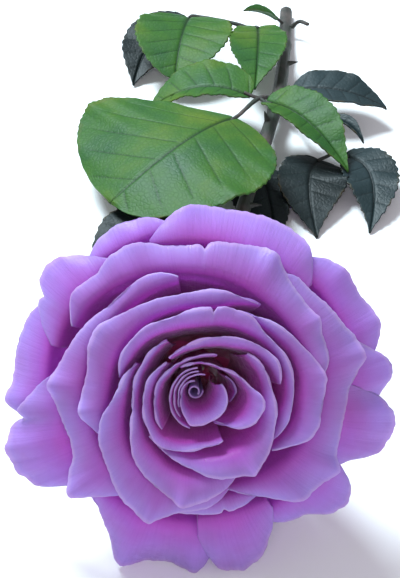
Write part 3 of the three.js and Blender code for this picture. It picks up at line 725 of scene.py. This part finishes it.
def leaf_a():
    stalk("leaf_a_stalk", [[24.6, 136, 8.8], [19, 127, 14.6], [12.6, 112.6, 18], [10.2, 108.4, 18.8]],
          branches=([[19, 127, 14.6], [17, 127.2, 15.2], [14.4, 128, 16]],
                    [[19, 127, 14.6], [21, 124, 15], [22.6, 122.6, 15.4]]))
    light_leaf("leaf_a_leaflet_1", [[11.4, 110.4, 18.4], [-1, 95, 26], [-24, 78, 11.4]], (28, 38), fold=-5,
               widest=(0.45, 0.6), steps=(130, 130), veins=6, seed=11, waves=0.8, point=0.45)
    light_leaf("leaf_a_leaflet_2", [[16.2, 126.6, 15.4], [1, 134, 20], [-15, 129, 9]], (6, 12), seed=12)
    light_leaf("leaf_a_leaflet_3", [[20.8, 124, 15], [33, 116, 19], [44, 96, 9.4]], (9, 9), fold=24, seed=13)


def leaf_b():
    stalk("leaf_b_stalk", [[28.4, 175, 6.2], [14, 176, 12], [0, 180, 13], [-2.4, 178, 13.8]],
          branches=([[18, 175.6, 11], [19.6, 174.6, 12], [20, 172, 13.2]],
                    [[-1, 179.6, 13.2], [-3, 178.8, 12.4], [-5, 178, 11.2]]))
    light_leaf("leaf_b_leaflet_1", [[-2.4, 177, 14.2], [-5.4, 163, 18], [-7, 147, 9]], (16, 15), seed=21,
               teeth=0.7, point=0.6)
    light_leaf("leaf_b_leaflet_2", [[20, 173.6, 12.6], [20, 156, 19], [18, 136.6, 12]], (9, 9), seed=22)
    dark_leaf("leaf_b_leaflet_3", [[-2.4, 178.6, 11], [-17, 177, 11], [-20.6, 155, 2]], (12, 10),
              seed=23, shade=True)
    light_leaf("leaf_b_stipule", [[27.2, 188, 7.4], [22, 186, 12.6], [15.6, 182, 14.4]], (2.6, 2.6), fold=25,
               seed=24, veins=3, steps=(24, 30), waves=0.2, teeth=0.15)


def leaf_c():
    stalk("leaf_c_stalk", [[26.2, 137, 7.4], [33, 122, 8], [40, 108, 7]],
          branches=([[28, 133, 8], [29, 136, 9.4], [31, 138, 10.6]],
                    [[34, 120, 8], [36, 121, 7.8], [39, 121.2, 8.2]],
                    [[40, 108, 7], [42, 107.4, 7], [45, 106.4, 7.3]],
                    [[40, 108, 7], [38.4, 107.6, 6.4], [36, 106, 6.3]]))
    dark_leaf("leaf_c_leaflet_1", [[30, 138, 10.4], [44, 138, 14], [59, 132, 7.6]], (9, 9), fold=8, seed=31,
              teeth=0.2)
    dark_leaf("leaf_c_leaflet_2", [[43.8, 107, 7], [55, 101, 10], [49, 77, 1.8]], (8, 8), seed=32, teeth=0.7)
    # Leaflet 3 lies in shade and fills the dark gap towards the stem. It wears the near-black painted-shade
    # leaf material.
    dark_leaf("leaf_c_leaflet_3", [[36.6, 106.6, 6], [30, 98, 9], [34, 75, 1.6]], (11, 9), fold=4, seed=33,
              shade=True)
    dark_leaf("leaf_c_leaflet_4", [[38, 121, 7.6], [45, 123, 13], [50, 112, 8.6]], (2.6, 2.6),
              fold=30, seed=34,
              veins=3, steps=(24, 40), waves=0.2, teeth=0.2)


# Leaf D's leaflets lie in the shade under leaflet A1 and fill the gaps towards the bloom. They wear the
# near-black painted-shade leaf material and partly stand in for that shade.
def leaf_d():
    stalk("leaf_d_stalk", [[9.4, 60, 8.6], [3, 67, 9], [-4, 72, 8.4], [-6.4, 73, 8.2]],
          branches=([[4, 66, 9], [3, 64.8, 8.6], [1.6, 63, 8.4]],))
    dark_leaf("leaf_d_leaflet_1", [[-5.6, 73, 8], [-18, 74, 9], [-29, 60, 1.6]], (10, 10), seed=41,
              shade=True)
    dark_leaf("leaf_d_leaflet_2", [[2.4, 64.4, 8.2], [-6, 56, 10], [-10, 40, 3]], (9, 9), seed=42,
              shade=True)
    dark_leaf("leaf_d_leaflet_3", [[17.5, 106, 4.4], [22, 95, 5], [22, 68, 1.6]], (6, 11), fold=2, seed=43,
              shade=True)


def sepal(index):
    azimuth = np.array(18.0 + 72 * index)
    stops = [(6.0, -3.6), (15.0, -3.0), (20.0, -9.0)]
    route = [bloom_point(azimuth, np.array(r), np.array(h)) for r, h in stops]
    blade(f"sepal_{index + 1}", route, (3.4, 3.4), "calyx", CALYX, facing=tuple(AXIS), widest=(0.3, 0.3),
          veins=4, teeth=0.6, seed=50 + index, steps=(24, 44), waves=0.5)


# ---- hip and stem ----
def hip():
    outline = np.array([[0.01, -13], [2.2, -13], [3.6, -11.5], [5.6, -8.6], [5.9, -6.2], [5.0, -3.8],
                        [4.4, -3.2], [0.3, 4.6], [0.01, 4.7]])
    fine = smooth_route(np.column_stack([outline, 0 * outline[:, 0]]), 90)
    angle = np.linspace(0, 360, HIP_SIDES, endpoint=False)[None, :]
    ribbed = 1 + 0.02 * np.cos(np.radians(angle) * 5)
    radius = np.maximum(fine[:, :1], 0.01) * ribbed
    skin = bloom_point(angle + 0 * radius, radius, fine[:, 1:2] + 0 * radius)
    rows = len(fine)
    index = np.arange(rows * HIP_SIDES).reshape(rows, HIP_SIDES)
    wrapped = np.roll(index, -1, axis=1)
    quads = np.stack([index[:-1], wrapped[:-1], wrapped[1:], index[1:]], axis=-1).reshape(-1, 4)
    caps = [index[0][::-1].tolist(), index[-1].tolist()]
    make_piece("hip_fine", skin.reshape(-1, 3), quads.tolist() + caps, "hip", CALYX)


THORNS = [([8.6, 58, 8.4], [-1, 0.2, 0.6]), ([13, 80, 8.6], [1, 0.1, 0.2]), ([22, 122, 8.1], [-0.3, 0.2, 1]),
          ([27.6, 160, 6.1], [1, 0.2, 0.3])]
NODES_ON_STEM = [0.31, 0.64, 0.86]  # where leaves join the stem, as parts of its length


def thorn(root, towards):
    """A hooked cone that leans back towards the bloom."""
    direction = unit(np.array(towards, float))
    t = np.linspace(0, 1, THORN_ROWS)
    root = np.array(root, float)
    route = root + direction * (5.6 * t)[:, None] + np.array([0, -1.0, 0]) * (1.3 * t ** 2)[:, None]
    radii = np.broadcast_to((1.25 * (1 - t) ** 0.8 + 0.05)[:, None], (THORN_ROWS, THORN_SIDES))
    return tube(route, radii, THORN_SIDES)


def stem():
    """The stem, with its thorns and the short holder of the stipule. Its far end is a pale cut."""
    start = bloom_point(np.array(0.0), np.array(0.0), np.array(-13.4))
    route = smooth_route([start, [1, 22, 11], [6, 44, 8.2], [15, 88, 8.6], [25, 136, 7.6], [29, 172, 5.2],
                          [31, 201, 2.9]], STEM_ROWS)
    t = np.linspace(0, 1, STEM_ROWS)[:, None]
    angle = np.linspace(0, 2 * math.pi, STEM_SIDES, endpoint=False)[None, :]
    swell = sum(0.14 * np.exp(-((t - place) / 0.012) ** 2) for place in NODES_ON_STEM)
    ridges = 0.020 * np.sin(7 * angle + 9 * t) + 0.012 * np.sin(13 * angle - 25 * t)
    radii = STEM_RADIUS * (1 + swell + ridges + 0.02 * np.sin(60 * t))
    vertices, faces = tube(route, radii, STEM_SIDES)
    last_ring = (STEM_ROWS - 1) * STEM_SIDES
    end_centre = STEM_ROWS * STEM_SIDES + 1
    for root, towards in THORNS:
        vertices, faces = joined(vertices, faces, *thorn(root, towards))
    holder = [[29.6, 188.2, 5.2], [28, 188.2, 6.8], [26, 187.6, 8.8]]
    vertices, faces = with_branch(vertices, faces, holder, HOLDER_RADIUS)
    cut = np.zeros(len(vertices))
    cut[last_ring:last_ring + STEM_SIDES] = 0.45
    cut[end_centre] = 1.0
    make_piece("stem_fine", vertices, faces, "stem", STEM, {"cut": cut})


def twig():
    stalk("dry_twig", [[32.4, 187, 5.2], [34.6, 185.4, 8], [37, 180, 10]], radius=0.7, end_radius=0.9)


# ---- the rose ----
rolled_core()
for petal_name, nest, corners in PETALS:
    petal(petal_name, nest, corners, drop=4.0 if petal_name == "inner_petal_1" else 0.0)
hip()
for sepal_index in range(5):
    sepal(sepal_index)
stem()
leaf_a()
leaf_b()
leaf_c()
leaf_d()
twig()


# ---- floor, lights and camera ----
def floor():
    bpy.ops.mesh.primitive_plane_add(size=6, location=(0, 0, 0))
    ground = bpy.context.object
    ground.name = "floor"
    ground.data.materials.append(floor_material())


def area_light(name, place, aim, size, power, colour):
    lamp = bpy.data.lights.new(name, "AREA")
    lamp.shape = "DISK"
    lamp.size = size
    lamp.energy = power
    lamp.color = colour
    light = bpy.data.objects.new(name, lamp)
    light.location = place
    light.rotation_euler = (Vector(aim) - Vector(place)).to_track_quat("-Z", "Y").to_euler()
    bpy.context.scene.collection.objects.link(light)


def lights():
    bloom = Vector((SHIFT[0], SHIFT[1] - 0.02, 0.035))
    area_light("key", bloom + Vector((-0.35, 0.45, 0.85)), bloom, 0.4, 19, (0.78, 0.93, 1.0))
    area_light("fill", bloom + Vector((0.6, -0.7, 0.5)), bloom, 0.9, 2, (1.0, 0.86, 0.90))
    area_light("front", bloom + Vector((-0.1, -0.75, 0.6)), bloom, 0.35, 1.8, (1.0, 0.88, 0.97))
    world = bpy.data.worlds.new("studio")
    world.use_nodes = True
    background = world.node_tree.nodes["Background"]
    background.inputs["Color"].default_value = (0.88, 0.93, 1.0, 1)
    background.inputs["Strength"].default_value = 0.42
    bpy.context.scene.world = world


CAMERA_PLACE = (1.04, -246.3, 251.2)  # design millimetres
CAMERA_DIP = math.radians(39.9)  # below the horizontal
VIEW_ANGLE = math.radians(22.65)  # from the lower edge of the picture to the upper


def camera():
    lens = bpy.data.cameras.new("camera")
    lens.sensor_fit = "VERTICAL"
    lens.angle = VIEW_ANGLE
    lens.clip_start = 0.01
    eye = bpy.data.objects.new("camera", lens)
    eye.location = in_frame(CAMERA_PLACE)
    eye.rotation_euler = (math.pi / 2 - CAMERA_DIP, 0, 0)
    bpy.context.scene.collection.objects.link(eye)
    bpy.context.scene.camera = eye


floor()
lights()
camera()
bpy.context.scene.view_settings.view_transform = "Standard"

bpy.context.view_layer.update()
